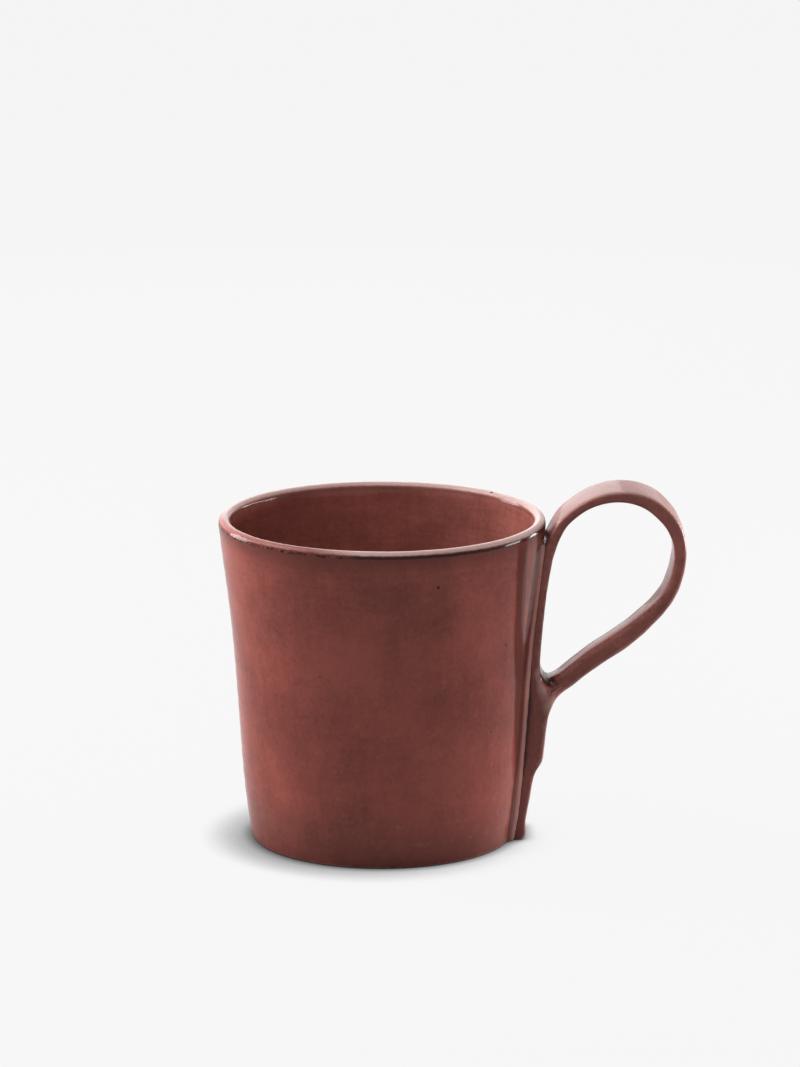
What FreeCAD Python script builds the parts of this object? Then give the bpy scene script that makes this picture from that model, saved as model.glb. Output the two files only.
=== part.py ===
import FreeCAD, Part
import math
import os

# A coffee cup of glazed stoneware. The body is turned, and a flat strap of clay runs up
# its side from the foot, peels off under the lip, loops out above the rim and comes back
# down to land on itself, where its tail is smoothed into the strap below.
# Millimetres, +Z up. The origin is on the cup's axis in the plane that it stands on,
# and the handle points along +X.

V = FreeCAD.Vector

# Turned body
rim_radius = 40.0
cup_height = 80.4
foot_radius = 32.2
lip_half_thickness = 1.5
wall_thickness = 3.0
floor_thickness = 4.5
inner_corner = 9.0
foot_edge = 0.7
# The wall opens from foot to rim in an easy S: each pair is a share of the height and
# the share of the flare that the wall has reached there.
wall_flare = [(0.248, 0.288), (0.702, 0.634)]
foot_lean = 10.5
lip_lean = 5.8

# Strap on the side of the body. Each pair below is a share of the height and how far the
# face stands off the turned wall there, as a share of leg_depth. The strap swells a little
# where it meets the table.
strap_width = 14.8
strap_round = 0.7
strap_bury = 1.0
leg_depth = 2.6
foot_bulb = [(0.0, 0.90), (0.008, 1.13), (0.020, 1.21), (0.042, 1.00), (0.062, 0.93), (0.110, 1.00)]
leg_face = [(0.190, 1.13), (0.400, 1.02), (0.600, 0.90), (0.746, 0.87)]
leg_sections = 12

# Loop: reach beyond the rim, rise above it, where the strap comes back to the leg, how far
# down it takes to turn along the leg, and where its tail ends.
loop_reach = 34.0
loop_rise = 7.0
landing_height = 41.0
landing_depth = 7.3
tail_height = 16.5
# Strap thickness at the peel, over the rim, over the top, round the outside, down the return,
# where the clay was left narrower and rounder, at the landing and in the tail.
peel_thickness = 3.5
over_thickness = 2.25
top_thickness = 2.75
crest_width = 15.4
side_thickness = 3.0
return_thickness = 4.6
return_width = 9.0
return_round = 1.9
landing_thickness = 5.0
landing_width = 11.6
tail_thickness = 3.6
tail_stand = 5.2
loop_sections = 36

# Clay worked in behind the strap: a fillet from the strap's back edge to the wall.
fillet_angle = 20.5
fillet_crest = 0.55
fillet_top = 3.2

lip_height = cup_height - lip_half_thickness
rise = cup_height + loop_rise - landing_height


def curve(points, start=None, end=None):
    """Smooth curve through points, with end directions where they are given."""
    line = Part.BSplineCurve()
    if start is None:
        line.interpolate(Points=points)
    else:
        line.interpolate(Points=points, InitialTangent=start, FinalTangent=end)
    return line


def profile_point(radius, height):
    return V(-radius, 0, height)


def outer_wall():
    """Outside of the body from the foot edge to the lip, in the XZ plane at minus X."""
    lean = math.radians(lip_lean)
    radius = rim_radius - lip_half_thickness + lip_half_thickness * math.cos(lean)
    height = lip_height - lip_half_thickness * math.sin(lean)
    points = [profile_point(foot_radius, foot_edge)]
    for share, flare in wall_flare:
        points.append(profile_point(foot_radius + flare * (rim_radius - foot_radius), share * lip_height))
    points.append(profile_point(radius, height))
    return curve(points, V(-math.tan(math.radians(foot_lean)), 0, 1), V(-math.sin(lean), 0, math.cos(lean)))


wall_curve = outer_wall()


def point_at(line, height):
    """The point of a rising curve at a height."""
    low = line.FirstParameter
    high = line.LastParameter
    if height <= line.value(low).z:
        return line.value(low)
    for step in range(50):
        middle = (low + high) / 2
        if line.value(middle).z < height:
            low = middle
        else:
            high = middle
    return line.value(low)


def wall_radius(height):
    """Outside radius of the turned wall at a height."""
    return -point_at(wall_curve, height).x


def make_body():
    """The thrown vessel: foot, flaring wall, full round lip and a rounded inside corner."""
    lean = math.radians(lip_lean)
    centre = rim_radius - lip_half_thickness
    outer_lip = wall_curve.EndPoint
    inner_lip = profile_point(
        centre - lip_half_thickness * math.cos(lean), lip_height + lip_half_thickness * math.sin(lean))
    lip = Part.Arc(outer_lip, profile_point(centre, cup_height), inner_lip)

    corner_top = floor_thickness + inner_corner
    inner_radius = wall_radius(corner_top) - wall_thickness
    inner_points = [inner_lip]
    for share, flare in reversed(wall_flare):
        height = share * lip_height
        if height > corner_top + inner_corner:
            inner_points.append(profile_point(wall_radius(height) - wall_thickness, height))
    inner_points.append(profile_point(inner_radius, corner_top))
    inner = curve(inner_points, V(math.sin(lean), 0, -math.cos(lean)), V(0.06, 0, -1))

    turn = inner_corner * math.cos(math.radians(45))
    corner = Part.Arc(
        profile_point(inner_radius, corner_top),
        profile_point(inner_radius - inner_corner + turn, corner_top - turn),
        profile_point(inner_radius - inner_corner, floor_thickness))
    ease = foot_edge * (1 - math.cos(math.radians(45)))
    edge = Part.Arc(
        profile_point(foot_radius - foot_edge, 0),
        profile_point(foot_radius - ease, ease),
        profile_point(foot_radius, foot_edge))

    outline = [
        Part.LineSegment(V(0, 0, 0), profile_point(foot_radius - foot_edge, 0)),
        edge, wall_curve, lip, inner, corner,
        Part.LineSegment(profile_point(inner_radius - inner_corner, floor_thickness), V(0, 0, floor_thickness)),
        Part.LineSegment(V(0, 0, floor_thickness), V(0, 0, 0))]
    wire = Part.Wire([item.toShape() for item in outline])
    return Part.Face(wire).revolve(V(0, 0, 0), V(0, 0, 1), 360)


def strap_section(x, z, angle, thickness, width, rounding):
    """Rounded rectangle across the strap. The angle is the strap's direction from +X."""
    out = V(math.sin(angle), 0, -math.cos(angle))
    side = V(0, 1, 0)
    centre = V(x, 0, z)
    r = min(rounding, 0.44 * thickness)
    a = thickness / 2
    b = width / 2
    k = r * (1 - math.cos(math.radians(45)))
    edges = []
    for turn in range(4):
        sign_a = (1, -1, -1, 1)[turn]
        sign_b = (1, 1, -1, -1)[turn]
        first = centre + out * (sign_a * a) + side * (sign_b * (b - r))
        second = centre + out * (sign_a * (a - r)) + side * (sign_b * b)
        middle = centre + out * (sign_a * (a - k)) + side * (sign_b * (b - k))
        if turn % 2:
            first, second = second, first
        edges.append((first, middle, second))
    shapes = []
    for turn in range(4):
        first, middle, second = edges[turn]
        shapes.append(Part.Arc(first, middle, second).toShape())
        shapes.append(Part.LineSegment(second, edges[(turn + 1) % 4][0]).toShape())
    return Part.Wire(shapes)


def face_line():
    """Stand-off of the strap's face from the wall, as a smooth line up the leg."""
    return curve([V(face * leg_depth, 0, share * lip_height) for share, face in foot_bulb + leg_face])


def leg_section(height, face):
    """The strap where it lies against the wall, buried a little so that it is one with it."""
    radius = wall_radius(height)
    thickness = face + strap_bury
    return strap_section(
        radius + face - thickness / 2, height, math.radians(90), thickness, strap_width, strap_round)


def make_leg():
    """From the foot to the height where the strap begins to peel. The sections lie close
    together at the foot, where the face turns most."""
    face = face_line()
    top = leg_face[-1][0] * lip_height
    sections = []
    for index in range(leg_sections + 1):
        height = top * (index / leg_sections) ** 2
        sections.append(leg_section(height, point_at(face, height).x))
    return Part.makeLoft(sections, True, False)


def leg_front(height):
    """Distance of the strap's face from the cup's axis, on the leg."""
    return wall_radius(height) + point_at(face_line(), height).x


def peel_stations():
    """From the top of the leg the strap runs up beside the rim and starts to lean out. The
    centre line is given as shares of the lip's height and of the thickness beyond the rim."""
    top = leg_face[-1][0] * lip_height
    face = leg_face[-1][1] * leg_depth
    stations = [(wall_radius(top) + (face - strap_bury) / 2, top, face + strap_bury, strap_width, strap_round)]
    table = [
        (-0.270, 0.8450, peel_thickness),
        (0.020, 0.9125, peel_thickness),
        (0.470, 0.9630, peel_thickness * 0.86),
        (0.915, 0.9950, over_thickness * 1.10)]
    for beyond, up, thickness in table:
        stations.append((
            rim_radius + beyond * peel_thickness, up * lip_height, thickness, strap_width, strap_round))
    return stations


def free_stations():
    """The loop in the air: centre line as shares of the reach beyond the rim and of the
    rise from landing to crest, then thickness, width and rounding."""
    table = [
        (0.2220, 0.904, over_thickness, strap_width, strap_round),
        (0.3710, 0.962, over_thickness * 1.10, crest_width, strap_round),
        (0.5430, 0.980, top_thickness, crest_width, strap_round),
        (0.7130, 0.950, top_thickness * 1.20, crest_width, strap_round),
        (0.8400, 0.880, side_thickness * 1.17, strap_width, strap_round),
        (0.9220, 0.795, side_thickness * 1.11, strap_width, strap_round),
        (0.9590, 0.683, side_thickness, strap_width, strap_round),
        (0.9400, 0.558, side_thickness, strap_width * 0.97, strap_round * 1.3),
        (0.8780, 0.434, side_thickness * 1.05, strap_width * 0.84, strap_round * 1.7),
        (0.7570, 0.323, return_thickness * 0.83, return_width * 1.13, return_round * 0.84),
        (0.5535, 0.192, return_thickness, return_width, return_round),
        (0.3360, 0.083, return_thickness, return_width, return_round)]
    return [(rim_radius + along * loop_reach, landing_height + up * rise) + tuple(size)
            for along, up, *size in table]


def landing_stations():
    """The strap turns down along the leg: centre line as shares of the landing's depth,
    beyond the leg's face and down from the landing."""
    table = [
        (0.935, 0.165, return_thickness * 0.95, return_width * 1.04, return_round),
        (0.470, 0.485, landing_thickness, landing_width, return_round * 0.84),
        (0.175, 1.000, landing_thickness * 0.90, strap_width * 0.92, return_round * 0.58)]
    stations = []
    for beyond, down, thickness, width, rounding in table:
        height = landing_height - down * landing_depth
        stations.append((leg_front(height) + beyond * landing_depth, height, thickness, width, rounding))
    return stations


def tail_stations():
    """The tail runs down the face of the leg and fades into it. The face of the tail stands
    off the wall by a share of tail_stand."""
    stations = []
    start = landing_height - landing_depth
    for share, proud in ((0.23, 1.03), (0.49, 1.0), (0.715, 0.96), (0.915, 0.70), (1.09, 0.42)):
        height = start - share * (start - tail_height)
        face = wall_radius(height) + proud * tail_stand
        stations.append((
            face - tail_thickness / 2, height, tail_thickness, strap_width * 0.97, strap_round))
    return stations


def size_between(stations, knots, place):
    """Thickness, width and rounding at a place on the centre line."""
    index = 0
    while index < len(knots) - 2 and place > knots[index + 1]:
        index += 1
    part = (place - knots[index]) / (knots[index + 1] - knots[index])
    return [(1 - part) * stations[index][column] + part * stations[index + 1][column] for column in (2, 3, 4)]


def make_loop():
    """Sections square to the centre line and evenly spaced along it, from the one that ends
    the leg to the one that the leg buries."""
    stations = peel_stations() + free_stations() + landing_stations() + tail_stations()
    path = curve([V(x, 0, z) for x, z, *size in stations])
    knots = [path.parameter(V(x, 0, z)) for x, z, *size in stations]
    sections = []
    for index in range(loop_sections + 1):
        place = path.parameterAtDistance(path.length() * index / loop_sections, path.FirstParameter)
        point = path.value(place)
        direction = path.tangent(place)[0]
        angle = math.atan2(direction.z, direction.x) if index else math.radians(90)
        thickness, width, rounding = size_between(stations, knots, place)
        sections.append(strap_section(point.x, point.z, angle, thickness, width, rounding))
    return Part.makeLoft(sections, True, False)


def fillet_section(height, crest):
    """Clay behind the strap at one height: tangent to the wall on both sides."""
    radius = wall_radius(height)
    spread = math.radians(fillet_angle)
    half = strap_width / 2 - 0.86 * strap_round
    back = radius - 1.4 * strap_bury
    inside = radius - 0.25 * strap_bury
    ends = []
    for sign in (-1, 1):
        rim = V(inside * math.cos(spread), sign * inside * math.sin(spread), height)
        edge = V(radius + crest, sign * half, height)
        middle = (rim + edge) / 2 - V(0.4 * fillet_crest, 0, 0)
        ends.append((rim, middle, edge))
    near, far = ends
    pieces = [
        Part.Arc(near[0], near[1], near[2]),
        Part.LineSegment(near[2], far[2]),
        Part.Arc(far[2], far[1], far[0]),
        Part.Arc(far[0], V(back, 0, height), near[0])]
    return Part.Wire([piece.toShape() for piece in pieces])


def make_fillet():
    top = cup_height - fillet_top
    sections = []
    for share in (0.0, 0.08, 0.25, 0.5, 0.75, 0.92, 1.0):
        height = share * top
        crest = fillet_crest if share < 0.95 else fillet_crest * 0.36
        sections.append(fillet_section(height, crest))
    return Part.makeLoft(sections, True, False)


def make_cup():
    body = make_body()
    strap = make_leg().fuse(make_loop())
    cup = body.fuse([make_fillet(), strap])
    cup = cup.removeSplitter()
    solids = cup.Solids
    return solids[0] if len(solids) == 1 else cup


cup = make_cup()
box = cup.BoundBox
print("solids", len(cup.Solids), "valid", cup.isValid(), "faces", len(cup.Faces))
print("box", round(box.XMin, 2), round(box.XMax, 2), round(box.YMin, 2), round(box.YMax, 2),
      round(box.ZMin, 2), round(box.ZMax, 2), "volume ml of clay", round(cup.Volume / 1000, 1))

os.makedirs("parts", exist_ok=True)
cup.exportStep("parts/cup.step")
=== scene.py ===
import math

import bmesh
import bpy
import numpy as np
from mathutils import Matrix, Vector


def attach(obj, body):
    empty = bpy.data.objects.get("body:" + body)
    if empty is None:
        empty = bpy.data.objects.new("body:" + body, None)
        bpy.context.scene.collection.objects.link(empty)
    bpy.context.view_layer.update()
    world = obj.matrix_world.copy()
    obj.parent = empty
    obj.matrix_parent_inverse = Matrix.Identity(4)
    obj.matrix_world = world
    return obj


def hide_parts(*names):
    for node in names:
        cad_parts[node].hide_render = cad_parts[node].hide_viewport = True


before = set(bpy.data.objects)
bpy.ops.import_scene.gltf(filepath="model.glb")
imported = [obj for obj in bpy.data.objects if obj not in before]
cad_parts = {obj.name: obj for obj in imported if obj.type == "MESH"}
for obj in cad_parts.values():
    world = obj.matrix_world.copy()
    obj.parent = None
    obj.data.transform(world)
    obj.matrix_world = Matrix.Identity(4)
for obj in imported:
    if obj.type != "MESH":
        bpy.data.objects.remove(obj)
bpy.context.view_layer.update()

bl_info = {
    "name": "Coffee cup with a looped strap handle",
    "version": (1, 0, 0),
    "blender": (4, 5, 0),
    "location": "View3D > Sidebar > Coffee cup",
    "description": "A turned and glazed cup whose handle is one pulled strap, with its studio",
    "category": "Object",
}

MM = 0.001


# The sizes and colours that a user would change

class CupSizes(bpy.types.PropertyGroup):
    """Sizes of the cup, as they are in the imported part."""
    rim_radius: bpy.props.FloatProperty(
        name="Rim radius", description="Outside radius of the rim", default=0.0400, unit="LENGTH",
        precision=4)
    height: bpy.props.FloatProperty(
        name="Height", description="Height of the rim", default=0.0804, unit="LENGTH", precision=4)
    foot_radius: bpy.props.FloatProperty(
        name="Foot radius", description="Outside radius of the foot", default=0.0322, unit="LENGTH",
        precision=4)
    wall: bpy.props.FloatProperty(
        name="Wall", description="Thickness of the wall", default=0.0030, unit="LENGTH", precision=4)
    floor: bpy.props.FloatProperty(
        name="Floor", description="Thickness of the floor", default=0.0045, unit="LENGTH", precision=4)
    inner_corner: bpy.props.FloatProperty(
        name="Inside corner", description="Radius between floor and wall", default=0.0090, unit="LENGTH",
        precision=4)
    strap_width: bpy.props.FloatProperty(
        name="Strap width", description="Width of the handle's strap", default=0.0148, unit="LENGTH",
        precision=4)
    loop_reach: bpy.props.FloatProperty(
        name="Loop reach", description="How far the loop's centre line reaches beyond the rim",
        default=0.0340, unit="LENGTH", precision=4)
    columns: bpy.props.IntProperty(
        name="Columns", description="Faces round the turned wall, before the last smoothing", default=120,
        min=60, max=200)
    wobble: bpy.props.FloatProperty(
        name="Wobble", description="How far hand work leaves the surface from true", default=0.00012,
        unit="LENGTH", precision=5)
    throwing_lines: bpy.props.FloatProperty(
        name="Throwing lines", description="Depth of the rings left by the fingers", default=0.00003,
        unit="LENGTH", precision=5)


class GlazeLook(bpy.types.PropertyGroup):
    """Colours of the glaze and of the bare foot, and of the painted shade, reflection and highlights."""
    body: bpy.props.FloatVectorProperty(
        name="Glaze", description="Colour of the glaze where it is thick", subtype="COLOR", size=3,
        min=0, max=1, default=(0.395, 0.100, 0.077))
    deep: bpy.props.FloatVectorProperty(
        name="Deep glaze", description="Colour of the darker clouds and streaks", subtype="COLOR", size=3,
        min=0, max=1, default=(0.230, 0.060, 0.047))
    # Also the colour of the painted highlight on edges, on top of the lip and on the bead
    thin: bpy.props.FloatVectorProperty(
        name="Thin glaze", description="Colour where the glaze is thin over an edge", subtype="COLOR", size=3,
        min=0, max=1, default=(0.720, 0.480, 0.440))
    inner: bpy.props.FloatVectorProperty(
        name="Inside", description="Colour of the thinner glaze inside", subtype="COLOR", size=3,
        min=0, max=1, default=(0.415, 0.136, 0.110))
    speck: bpy.props.FloatVectorProperty(
        name="Specks", description="Colour of the iron specks", subtype="COLOR", size=3,
        min=0, max=1, default=(0.020, 0.009, 0.008))
    # Also the colour of the painted shade in the crease, in the deep corners and in hollows
    line: bpy.props.FloatVectorProperty(
        name="Lip lines", description="Colour of the dark lines on both sides of the lip", subtype="COLOR",
        size=3, min=0, max=1, default=(0.030, 0.010, 0.008))
    # Colour of the painted dark reflection of the handle beside the strap, and of the painted shade between
    # bead and wall and towards the foot
    shade_and_reflection: bpy.props.FloatVectorProperty(
        name="Pooled glaze", description="Colour where the glaze has run together beside the strap",
        subtype="COLOR", size=3, min=0, max=1, default=(0.120, 0.042, 0.034))
    clay: bpy.props.FloatVectorProperty(
        name="Clay", description="Colour of the bare clay under the foot", subtype="COLOR", size=3,
        min=0, max=1, default=(0.230, 0.115, 0.075))
    roughness: bpy.props.FloatProperty(
        name="Roughness", description="Roughness of the glaze", default=0.22, min=0, max=1)


class StudioLook(bpy.types.PropertyGroup):
    """Background and lamps."""
    background: bpy.props.FloatProperty(
        name="Background", description="Brightness of floor and backdrop as the camera sees them",
        default=0.922, min=0, max=1)
    back: bpy.props.FloatProperty(name="Back lamp", description="Watts", default=1.25, unit="POWER")
    back_right: bpy.props.FloatProperty(
        name="Back right lamp", description="Watts", default=0.85, unit="POWER")
    left_high: bpy.props.FloatProperty(name="High left lamp", description="Watts", default=3.2, unit="POWER")
    left: bpy.props.FloatProperty(name="Left lamp", description="Watts", default=3.1, unit="POWER")
    right: bpy.props.FloatProperty(name="Right lamp", description="Watts", default=2.10, unit="POWER")
    front: bpy.props.FloatProperty(name="High front lamp", description="Watts", default=1.45, unit="POWER")
    top: bpy.props.FloatProperty(name="Top spot", description="Watts", default=0.35, unit="POWER")


# Curves

def smooth_line(knots, values, start=None, end=None):
    """A smooth function through the values at the knots. Start and end are slopes; where one
    is None the curve runs out straight there."""
    t = np.array(knots, float)
    y = np.array(values, float).reshape(len(t), -1)
    h = np.diff(t)
    rise = np.diff(y, axis=0) / h[:, None]
    count = len(t)
    left = np.zeros((count, count))
    right = np.zeros_like(y)
    for i in range(1, count - 1):
        left[i, i - 1:i + 2] = (h[i], 2 * (h[i - 1] + h[i]), h[i - 1])
        right[i] = 3 * (h[i] * rise[i - 1] + h[i - 1] * rise[i])
    if start is None:
        left[0, :2] = (2, 1)
        right[0] = 3 * rise[0]
    else:
        left[0, 0] = 1
        right[0] = start
    if end is None:
        left[-1, -2:] = (1, 2)
        right[-1] = 3 * rise[-1]
    else:
        left[-1, -1] = 1
        right[-1] = end
    slope = np.linalg.solve(left, right)

    def value(x):
        i = int(min(max(np.searchsorted(t, x) - 1, 0), count - 2))
        u = (x - t[i]) / h[i]
        a = y[i] * (1 + 2 * u) * (1 - u) ** 2 + slope[i] * h[i] * u * (1 - u) ** 2
        b = y[i + 1] * (3 - 2 * u) * u ** 2 - slope[i + 1] * h[i] * (1 - u) * u ** 2
        point = a + b
        return float(point[0]) if len(point) == 1 else point
    return value


# Node trees

def new_tree(name, inputs):
    """An empty Geometry Nodes tree with named inputs, and the sockets' identifiers."""
    tree = bpy.data.node_groups.new(name, "GeometryNodeTree")
    tree.interface.new_socket("Geometry", in_out="OUTPUT", socket_type="NodeSocketGeometry")
    names = {}
    for label, kind in [("Geometry", "Geometry")] + inputs:
        socket = tree.interface.new_socket(label, in_out="INPUT", socket_type="NodeSocket" + kind)
        names[label] = socket.identifier
    return tree, names


def add_node(tree, kind, inputs=None, **settings):
    """Adds a node. Inputs maps a socket's name or number to a value or to another socket."""
    node = tree.nodes.new(kind)
    for key, value in settings.items():
        setattr(node, key, value)
    for key, value in (inputs or {}).items():
        socket = node.inputs[key]
        if isinstance(value, bpy.types.NodeSocket):
            tree.links.new(value, socket)
        else:
            socket.default_value = value
    return node


def end_tree(tree, geometry, material):
    """Makes the geometry real, gives it the material and sends it out of the tree."""
    real = add_node(tree, "GeometryNodeRealizeInstances", {"Geometry": geometry})
    glazed = add_node(tree, "GeometryNodeSetMaterial", {
        "Geometry": real.outputs[0], "Material": material})
    out = tree.nodes.new("NodeGroupOutput")
    tree.links.new(glazed.outputs[0], out.inputs[0])


def maths(tree, operation, *values):
    """The result of a Math node."""
    return add_node(tree, "ShaderNodeMath", dict(enumerate(values)), operation=operation).outputs[0]


def seen_rays(tree):
    """1 for what the camera, a reflection or glass sees, and 0 for the light that falls on things."""
    rays = tree.nodes.new("ShaderNodeLightPath")
    seen = maths(tree, "MAXIMUM", rays.outputs["Is Camera Ray"], rays.outputs["Is Transmission Ray"])
    return maths(tree, "MAXIMUM", seen, rays.outputs["Is Glossy Ray"])


def new_material(name):
    """A material and its empty node tree."""
    material = bpy.data.materials.new(name)
    material.use_nodes = True
    material.node_tree.nodes.clear()
    return material, material.node_tree


def finished_mesh(piece):
    """The mesh that comes out of the piece's modifiers, which are then taken off."""
    bpy.context.view_layer.update()
    shape = piece.evaluated_get(bpy.context.evaluated_depsgraph_get())
    mesh = bpy.data.meshes.new_from_object(shape)
    piece.modifiers.clear()
    return mesh


def run_tree(piece, tree, names, values):
    """Gives the piece the tree as a modifier, and returns the mesh that comes out of it."""
    modifier = piece.modifiers.new(tree.name, "NODES")
    modifier.node_group = tree
    for label, value in values.items():
        modifier[names[label]] = value
    return finished_mesh(piece)


def turning_tree():
    """Turns a profile on the wheel. Row by row the profile's points go round the axis, with the
    columns set closer where the handle and its filler will be worked."""
    tree, names = new_tree("Turn the profile", [
        ("Columns", "Int"), ("Strap columns", "Float"), ("Filler columns", "Float"),
        ("Strap angle", "Float"), ("Filler angle", "Float"), ("Material", "Material")])
    given = tree.nodes.new("NodeGroupInput")
    rows = add_node(tree, "GeometryNodeAttributeDomainSize", {"Geometry": given.outputs["Geometry"]})
    columns = maths(tree, "ADD", given.outputs["Columns"], 1)
    grid = add_node(tree, "GeometryNodeMeshGrid", {
        "Vertices X": rows.outputs["Point Count"], "Vertices Y": columns})
    index = tree.nodes.new("GeometryNodeInputIndex").outputs[0]
    row = maths(tree, "FLOOR", maths(tree, "DIVIDE", maths(tree, "ADD", index, 0.5), columns))
    column = maths(tree, "SUBTRACT", index, maths(tree, "MULTIPLY", row, columns))
    half = maths(tree, "DIVIDE", given.outputs["Columns"], 2)
    column = maths(tree, "SUBTRACT", column, half)
    place = maths(tree, "ABSOLUTE", column)
    stretches = (
        (0, given.outputs["Strap columns"], 0, given.outputs["Strap angle"]),
        (given.outputs["Strap columns"], given.outputs["Filler columns"],
         given.outputs["Strap angle"], given.outputs["Filler angle"]),
        (given.outputs["Filler columns"], half, given.outputs["Filler angle"], math.pi))
    angle = None
    for first, last, low, high in stretches:
        span = maths(tree, "SUBTRACT", high, low)
        part = add_node(tree, "ShaderNodeMapRange", {0: place, 1: first, 2: last, 3: 0, 4: span}, clamp=True)
        part = part.outputs[0]
        angle = part if angle is None else maths(tree, "ADD", angle, part)
    angle = maths(tree, "MULTIPLY", angle, maths(tree, "SIGN", column))
    position = tree.nodes.new("GeometryNodeInputPosition").outputs[0]
    profile = add_node(tree, "GeometryNodeSampleIndex", {
        "Geometry": given.outputs["Geometry"], "Value": position, "Index": row},
        data_type="FLOAT_VECTOR", domain="POINT")
    split = add_node(tree, "ShaderNodeSeparateXYZ", {0: profile.outputs[0]})
    turned = add_node(tree, "ShaderNodeCombineXYZ", {
        "X": maths(tree, "MULTIPLY", split.outputs["X"], maths(tree, "COSINE", angle)),
        "Y": maths(tree, "MULTIPLY", split.outputs["X"], maths(tree, "SINE", angle)),
        "Z": split.outputs["Z"]})
    placed = add_node(tree, "GeometryNodeSetPosition", {
        "Geometry": grid.outputs["Mesh"], "Position": turned.outputs[0]})
    for label, value in (("row", row), ("column", column)):
        placed = add_node(tree, "GeometryNodeStoreNamedAttribute", {
            "Geometry": placed.outputs[0], "Name": label, "Value": value}, data_type="INT", domain="POINT")
    closed = add_node(tree, "GeometryNodeMergeByDistance", {"Geometry": placed.outputs[0], "Distance": 1e-6})
    end_tree(tree, closed.outputs[0], given.outputs["Material"])
    return tree, names


# Grain of the wobble and of the rings' drift, how far the rings drift, the height over which the
# finish sets in, and the factor from metres to the stored stand-out
WOBBLE_GRAIN = 55.0
DRIFT_GRAIN = 30.0
RING_DRIFT = 0.006
FINISH_RISE = 0.004
EDGE_FACTOR = 1000.0


def hand_tree():
    """Hand finish: the small wobble of hand work and the rings left by the fingers. It also
    stores how far each place stands out from what is round it, for the glaze."""
    tree, names = new_tree("Finish by hand", [
        ("Wobble", "Float"), ("Throwing lines", "Float"), ("Line spacing", "Float"),
        ("Lowest", "Float"), ("Material", "Material")])
    given = tree.nodes.new("NodeGroupInput")
    position = tree.nodes.new("GeometryNodeInputPosition").outputs[0]
    normal = tree.nodes.new("GeometryNodeInputNormal").outputs[0]
    split = add_node(tree, "ShaderNodeSeparateXYZ", {0: position})
    noise = add_node(tree, "ShaderNodeTexNoise", {
        "Vector": position, "Scale": WOBBLE_GRAIN, "Detail": 2.0}, noise_dimensions="3D")
    swell = maths(tree, "MULTIPLY", maths(tree, "SUBTRACT", noise.outputs["Fac"], 0.5), 2.0)
    swell = maths(tree, "MULTIPLY", swell, given.outputs["Wobble"])
    drift = add_node(tree, "ShaderNodeTexNoise", {
        "Vector": position, "Scale": DRIFT_GRAIN, "Detail": 1.0}, noise_dimensions="3D")
    turn = maths(tree, "MULTIPLY", drift.outputs["Fac"], RING_DRIFT)
    turn = maths(tree, "ADD", split.outputs["Z"], turn)
    ring = maths(tree, "SINE", maths(tree, "DIVIDE", turn, given.outputs["Line spacing"]))
    ring = maths(tree, "MULTIPLY", ring, given.outputs["Throwing lines"])
    move = maths(tree, "ADD", swell, ring)
    above = add_node(tree, "ShaderNodeMapRange", {
        0: split.outputs["Z"], 1: given.outputs["Lowest"],
        2: maths(tree, "ADD", given.outputs["Lowest"], FINISH_RISE), 3: 0.0, 4: 1.0}, clamp=True)
    move = maths(tree, "MULTIPLY", move, above.outputs[0])
    offset = add_node(tree, "ShaderNodeVectorMath", {0: normal, "Scale": move}, operation="SCALE")
    moved = add_node(tree, "GeometryNodeSetPosition", {
        "Geometry": given.outputs["Geometry"], "Offset": offset.outputs[0]})
    around = add_node(tree, "GeometryNodeBlurAttribute", {"Value": position, "Iterations": 5},
                      data_type="FLOAT_VECTOR")
    apart = add_node(tree, "ShaderNodeVectorMath", {0: position, 1: around.outputs[0]}, operation="SUBTRACT")
    out_by = add_node(tree, "ShaderNodeVectorMath", {0: apart.outputs[0], 1: normal},
                      operation="DOT_PRODUCT")
    told = add_node(tree, "GeometryNodeStoreNamedAttribute", {
        "Geometry": moved.outputs[0], "Name": "edge",
        "Value": maths(tree, "MULTIPLY", out_by.outputs["Value"], EDGE_FACTOR)},
        data_type="FLOAT", domain="POINT")
    end_tree(tree, told.outputs[0], given.outputs["Material"])
    return tree, names


# Shape of the cup, in millimetres until the mesh is made

# Columns on each side of the strap's middle: its face ends at the first, its rounded corner at
# the second, its side at the third, and the filler beside it at the fourth
FACE_COLUMN = 3
CORNER_COLUMN = 5
STRAP_COLUMNS = 7
FILLER_COLUMNS = 13
FILLER_ANGLE = math.radians(20.5)
# The filler from the strap's side to the bare wall, column by column: share of the way, and
# share of its height. It starts in a groove, rises to a bead and then thins out.
FILLER_SHAPE = [
    (0.0, 0.52), (0.05, 0.92), (0.13, 1.02), (0.25, 0.72), (0.40, 0.32), (0.64, 0.07), (1.0, 0.0)]
FOOT_EDGE = 0.7
EDGE_EASE = FOOT_EDGE * (1 - math.cos(math.radians(45)))
LIP = 1.5
LIP_STEPS = 8
CORNER_STEPS = 7
# Slopes of the wall: outside at the foot, inside above the corner, and the lean of the lip
FOOT_LEAN = math.tan(math.radians(10.5))
INNER_LEAN = 0.06
LIP_LEAN = math.radians(5.8)
# The wall's points between foot and lip: share of the height, and share of the flare
WALL_POINTS = ((0.248, 0.288), (0.702, 0.634))
INNER_SHARES = (0.40, 0.702)
BASE_RADII = (4, 12, 20, 26, 29.5)
FLOOR_RADII = (20, 15, 9, 3.5)
INNER_ROWS = (77.6, 76.2, 74.0, 71.0, 67.0, 62.0, 56.5, 50.5, 44.5, 38.5, 32.5, 26.5, 21.5, 17.0)
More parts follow.
